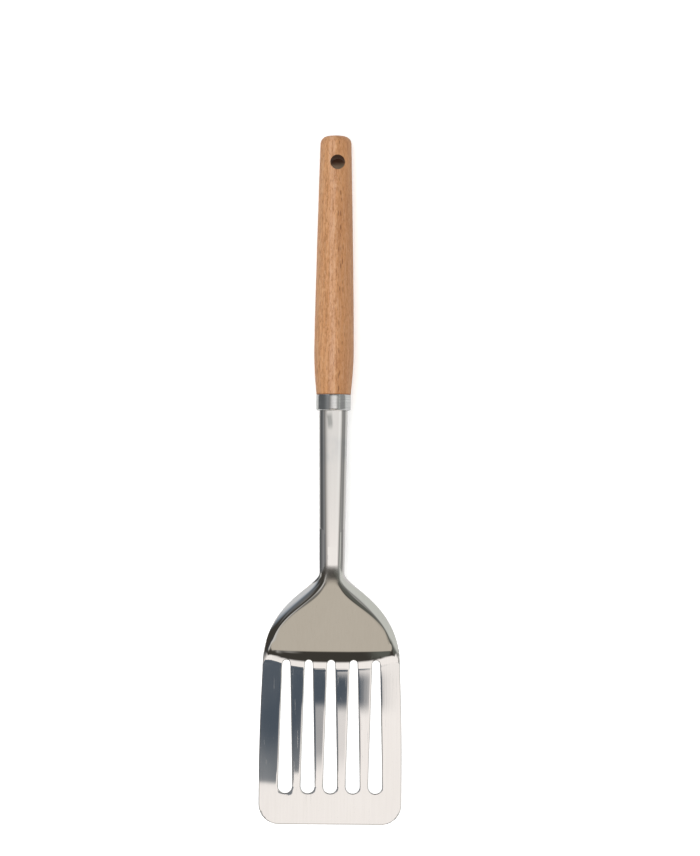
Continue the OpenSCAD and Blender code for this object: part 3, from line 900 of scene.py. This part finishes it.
# %% Beech colours
wood = blend(tone, (0.500, 0.205, 0.068), (0.690, 0.352, 0.150))
layers = [
    (step(thread, 0.50, 0.66) * 0.68, (0.66, 0.385, 0.215)),
    ((1 - step(thread, 0.32, 0.48)) * 0.68, (0.34, 0.135, 0.048)),
    (fibre * 0.35, (0.62, 0.35, 0.19)),
    (late_wood * 0.30, (0.33, 0.125, 0.044)),
    (step(short, 0.51, 0.68) * 0.56, (0.72, 0.43, 0.24)),
    ((1 - step(short, 0.31, 0.47)) * 0.58, (0.29, 0.110, 0.038)),
    (painted_sheen_stripe * 0.55, (0.66, 0.385, 0.245)),
    (right_tone_and_shade * 0.42, (0.365, 0.155, 0.060)),
    (ray * 0.42, (0.26, 0.10, 0.036)),
    (fleck * 0.72, (0.17, 0.062, 0.022))]
for share, colour in layers:
    wood = blend(share, wood, colour)
hole_place = AXIS @ Vector((HANG_HOLE_OFFSET, 0, BUTT_END - HANG_HOLE_L))
hole_dx = across_x - hole_place.x
hole_dy = along_y - hole_place.y - (up_z - hole_place.z) * math.tan(FALL)
from_axis = (hole_dx * hole_dx + hole_dy * hole_dy) ** 0.5
# Painted shade: the hang hole's walls are coloured almost black, mostly for the shade inside the
# hole, and a little for the darker cut end grain.
shaded_hole_wall = 1 - step(from_axis, HANG_HOLE_D / 2 * MM - 0.00005, HANG_HOLE_D / 2 * MM + 0.00012)
wood = blend(shaded_hole_wall * 0.85, wood, (0.075, 0.034, 0.018))
# The wood is darker in a thin line just past the ferrule's seam.
seam_y = place(0, MOUTH_Y + FERRULE_L * math.cos(FALL), 0).y
at_seam = 1 - step(along_y, seam_y + 0.0003, seam_y + 0.0011)
feed(shader, Base_Color=blend(at_seam * 0.6, wood, (0.20, 0.055, 0.018)),
     Roughness=0.46 + fibre * 0.12 + ray * 0.10 + shaded_hole_wall * 0.4,
     Normal=bumped(fibre * 0.6 + thread * 0.5 - ray * 0.7 - late_wood * 0.25, 0.03, 0.35))
print("hang hole at", [round(1000 * c, 1) for c in hole_place])

# %% [markdown]
# ## Glue
#
# The glue that holds the tang is hidden in the bore. It is an opaque filled
# resin, so it gets a dull mottled grey with small trapped bubbles.

# %% Glue
resin, tree, shader = finish("filled_resin")
mottle = grain(tree, (500, 500, 500), detail=4)
bubble = 1 - step(cells(tree, (900, 900, 900)), 0.12, 0.2)
feed(shader,
     Base_Color=blend(mottle, (0.30, 0.28, 0.22), (0.44, 0.41, 0.34)),
     Roughness=0.45 + mottle * 0.2,
     Normal=bumped(mottle - bubble, 0.05, 0.5))
print("nodes in the glue:", len(tree.nodes))

# %% [markdown]
# ## Put the pieces on the part
#
# Each new piece rides on the part's one body and stands for the solid that it
# replaces. The glue's solid is right as it is and only gets its material.

# %% Ride, replace and dress
for piece, cad_node, slot, material in (
        (head, "slotted_head", "pressed_steel", steel),
        (ferrule, "ferrule", "ferrule_steel", ring_steel),
        (handle, "handle", "beech", beech)):
    piece.data.materials.clear()
    piece.data.materials.append(material)
    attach(piece, "root")
    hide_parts(cad_node)
    print(piece.name, "stands for", cad_node)
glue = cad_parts["tang_glue"]
glue.data.materials.clear()
glue.data.materials.append(resin)

# %% [markdown]
# ## The table and the light
#
# Steel shows the room, so the room is part of its look. The turner lies on a
# pale table that glows a little, as a light table does, and more below the
# blade, so it throws almost no shadow. Only the spot below the hang hole stays
# dark. What the steel mirrors low down is a plane of its own, because then its
# grey can be set without touching the white that the camera sees. It is dark
# below the slots' front ends, which helps to draw a thin dark crescent there.

# %% Table
TABLE_SIZE, TABLE_DROP, MIRROR_DROP = 3.2, 0.00005, 0.00002


def card(name, matrix, colour=(0, 0, 0), width=TABLE_SIZE, height=TABLE_SIZE,
         mirrored_only=True):
    """A flat glowing card for the stage. Usually only mirrors see it."""
    flat = bmesh.new()
    bmesh.ops.create_grid(flat, x_segments=1, y_segments=1, size=0.5)
    bmesh.ops.scale(flat, vec=(width, height, 1), verts=flat.verts[:])
    made = new_piece(name, flat, matrix)
    look, tree, shader = finish(name + "_look", Base_Color=(0, 0, 0, 1), Roughness=1.0,
                                Specular_IOR_Level=0.0, Emission_Color=(*colour, 1),
                                Emission_Strength=1.0)
    made.data.materials.append(look)
    if mirrored_only:
        made.visible_camera = made.visible_diffuse = made.visible_shadow = False
        made.visible_transmission = made.visible_volume_scatter = False
    return made, tree, shader


floor, tree, shader = card("pale_table", Matrix.Translation((0, 0, -TABLE_DROP)),
                           mirrored_only=False)
floor.visible_glossy = False
floor_x, floor_y, _ = own_place(tree)
hole_y = place(0, BUTT_Y - HANG_HOLE_L, 0).y
from_hole = ((floor_x - HANG_HOLE_OFFSET * MM) ** 2 + (floor_y - hole_y) ** 2) ** 0.5
below_hole = 1 - step(from_hole, 0.0048, 0.0062)
speck = grain(tree, (30, 30, 30))
table_white = blend(speck, (0.86, 0.86, 0.86), (0.88, 0.88, 0.88))
under_blade = 1 - step(floor_y, -0.075, -0.035)
glow = blend(under_blade, (0.36, 0.36, 0.36), (0.66, 0.66, 0.66))
# Painted shadow: below the hang hole the table is coloured brown, darker on the butt's side, and
# doesn't glow.
hole_shade = blend(step(floor_y - hole_y, -0.0022, 0.0022), (0.62, 0.47, 0.34), (0.13, 0.065, 0.04))
feed(shader, Base_Color=blend(below_hole, table_white, hole_shade),
     Emission_Color=blend(below_hole, glow, (0.0, 0.0, 0.0)))
_, tree, shader = card("table_in_mirror", Matrix.Translation((0, 0, -MIRROR_DROP)))
mirror_x, mirror_y, _ = own_place(tree)
below_ends = band(mirror_y, -0.1650, -0.1575, 0.0008) * (1 - step(mirror_x.size(), 0.0290, 0.0300))
feed(shader, Emission_Color=blend(below_ends, (0.66, 0.66, 0.65), (0.03, 0.035, 0.04)))

# %% [markdown]
# Dark and grey cards do what a photographer's flags do. Low ones stand on both
# sides of the shank, and give the round steel its dark sides. Near the throat
# they stand closer, so that the fan doesn't mirror them. One more does the
# same for the slots' edges. A high one hangs over the blade: its mirror image
# is the dark blue patch that makes the flat blade look like metal and not
# like paper. It gets fainter and shorter from land to land. A small light card
# keeps that image out of the throat.

# %% Dark flags
UPRIGHT = Matrix.Rotation(math.pi / 2, 4, "Y")
for name, x, y, length, top in (("left_flag", -0.036, 0.018, 0.086, 0.075),
                                ("left_throat_flag", -0.0155, -0.0375, 0.025, 0.034)):
    _, tree, shader = card(name, Matrix.Translation((x, y, top / 2)) @ UPRIGHT,
                           width=top, height=length)
    feed(shader, Emission_Color=blend(step(own_place(tree)[2], 0.4 * top, 0.83 * top),
                                      (0.105, 0.110, 0.115), (0.25, 0.255, 0.26)))
for name, where, grey, height, length in (
        ("right_flag", (0.036, 0.018, 0.039), (0.27, 0.27, 0.265), 0.034, 0.086),
        ("right_throat_flag", (0.0155, -0.0375, 0.0225), (0.27, 0.27, 0.265), 0.011, 0.025),
        ("slot_flag", (-0.046, -0.127, 0.014), (0.05, 0.055, 0.065), 0.028, 0.058)):
    card(name, Matrix.Translation(where) @ UPRIGHT, grey, height, length)
card("throat_card", Matrix.Translation((0, -0.0415, 0.042)), (1.00, 0.975, 0.945),
     0.013, 0.017)
FLAG_HEIGHT = 1.4
_, tree, shader = card("high_flag", Matrix.Translation((-0.05, -0.09, FLAG_HEIGHT)),
                       (0.080, 0.102, 0.130), 0.5, 0.2)
flag_x, flag_y, _ = own_place(tree)
edge_of_first, first, second, third = (step(flag_x, at, at + 0.008)
                                       for at in (-0.062, -0.036, -0.012, 0.011))
top_end = 0.006 * edge_of_first + 0.003 * first + 0.006 * second + 0.0185
top_soft = 0.004 + 0.004 * second
top = 1 - step(flag_y, 0 - top_end - top_soft, 0 - top_end + top_soft)
lower_end = 0.0105 * edge_of_first + 0.009 * first - 0.1475
lower_soft = 0.0015 + 0.013 * first
body = ((1 - 0.35 * first - 0.43 * second - 0.22 * third)
        * step(flag_y, lower_end - lower_soft, lower_end + lower_soft))
arm = step(flag_y, -0.080, -0.062) * (1 - step(flag_x, 0.006, 0.066))
flag_cloud = grain(tree, (26, 9, 26), detail=3, rough=0.6)
flag = top * body.math("MAXIMUM", body, arm) * (0.95 + 0.05 * step(flag_cloud, 0.35, 0.6))
feed(shader, Alpha=flag,
     Emission_Color=blend(1 - step(flag_y, -0.149, -0.088), (0.080, 0.102, 0.130),
                          (0.205, 0.225, 0.245)))
print("flag hangs", FLAG_HEIGHT, "m up")

# %% [markdown]
# The rest of the studio is drawn by direction. Straight up is one large soft
# light, a little dimmer behind. It fades out to the left and to the right,
# where the room is grey. In front stands a warm card, low down, which the
# sloping panel mirrors, and a dark gap between the light and the card draws
# the dark line at the heel. Left of the card a pale strip and a dim one draw
# the thin lines along the panel's edge. The camera sees the room as plain.

# %% Studio by direction
world = bpy.data.worlds.new("studio")
scene.world = world
world.use_nodes = True
sky = world.node_tree
sky.nodes.clear()
toward = node(sky, "ShaderNodeTexCoord", out=0)
parts = node(sky, "ShaderNodeSeparateXYZ", None, {"Vector": toward})
dx, dy, dz = (Wire(parts.socket.node.outputs[k]) for k in range(3))
left_reach = 1 - step(0 - dx, 0.0, 0.60)
right_reach = 1 - step(dx, 0.24, 0.56)
front_reach = 1 - step(0 - dy, 0.24, 0.35)
back_reach = 1 - step(dy, 0.14, 0.34)
overhead = left_reach * right_reach * front_reach * back_reach * step(dz, 0.0, 0.2)
card_start = step(0 - dy, 0.640, 0.690)
warm_card = card_start * (1 - step(dx.size(), 0.20, 0.235))
strip = step(0 - dy, 0.42, 0.58) * band(dx, -0.35, -0.195, 0.05)
dim_strip = step(0 - dy, 0.56, 0.61) * band(dx, -0.155, -0.09, 0.03)
right = step(dx, 0.28, 0.72)
right_grey = step(dy, -0.50, -0.38) * (1 - step(dx, 0.50, 0.66))
left_wall = step(0 - dx, 0.42, 0.60) * step(dy, 0.0, 0.22)
left_colour = blend(step(dy, 0.10, 0.36), (0.24, 0.29, 0.35), (0.64, 0.66, 0.68))
behind = step(dy, 0.03, 0.10)
low_left = band(dx, -0.80, -0.46, 0.07) * band(dy, -0.20, 0.10, 0.09)
room = blend(step(dx, 0.06, 0.14), (0.050, 0.046, 0.039), (0.11, 0.115, 0.10))
room = blend(low_left, room, (0.14, 0.15, 0.16))
right_colour = blend(right_grey, (0.60, 0.62, 0.58), (0.25, 0.25, 0.25))
light = blend(behind, (1.03, 0.995, 0.965), (0.84, 0.83, 0.81))
light = blend(band(dx, 0.12, 0.26, 0.05) * behind, light, (0.93, 0.93, 0.91))
seen = node(sky, "ShaderNodeLightPath", out=0)
layers = [
    (left_wall, left_colour), (right, right_colour), (overhead, light),
    (strip, (0.64, 0.63, 0.60)), (dim_strip * 0.8, (0.27, 0.26, 0.24)),
    (warm_card, (0.54, 0.495, 0.42)), (seen, (0.93, 0.93, 0.93))]
for share, colour in layers:
    room = blend(share, room, colour)
shine = node(sky, "ShaderNodeBackground", None, {"Color": room, "Strength": 1.0})
node(sky, "ShaderNodeOutputWorld", None, {"Surface": shine})
print("nodes in the studio:", len(sky.nodes))

# %% [markdown]
# Wood and table need a lamp too: one square softbox overhead, a little to the
# left and towards the butt. The steel doesn't mirror it.

# %% Soft overhead light
softbox = bpy.data.lights.new("softbox", "AREA")
softbox.shape = "RECTANGLE"
softbox.size, softbox.size_y = 1.6, 1.6
softbox.energy = 26
lamp = bpy.data.objects.new("softbox", softbox)
lamp.location = (-0.25, 0.15, 1.7)
lamp.rotation_euler = (Vector((0, 0, 0)) - lamp.location).to_track_quat("-Z", "Y").to_euler()
lamp.visible_glossy = False
scene.collection.objects.link(lamp)
print("softbox of", softbox.energy, "watts at", [round(c, 2) for c in lamp.location])

# %% [markdown]
# ## Camera
#
# The view is straight down, from far enough for the handle and the blade to
# keep their true proportions. The turner lies a little left of the middle and
# turned by half a degree, so the camera is rolled by that much.

# %% Camera over the table
FRAME_PX, PX_MM = 856, 0.5220
DISTANCE = 1.4
LEAN = math.radians(0.54)
middle = Vector((0.0087, 0.0276, 0.010))
lens = bpy.data.cameras.new("over_the_table")
lens.sensor_width = 36
lens.lens = lens.sensor_width * DISTANCE / (FRAME_PX * PX_MM * MM)
camera = bpy.data.objects.new("over_the_table", lens)
camera.location = middle + Vector((0, 0, DISTANCE))
camera.rotation_euler = (0, 0, LEAN)
scene.collection.objects.link(camera)
scene.camera = camera
scene.view_settings.view_transform = "Standard"
print("lens in mm:", round(lens.lens, 1))
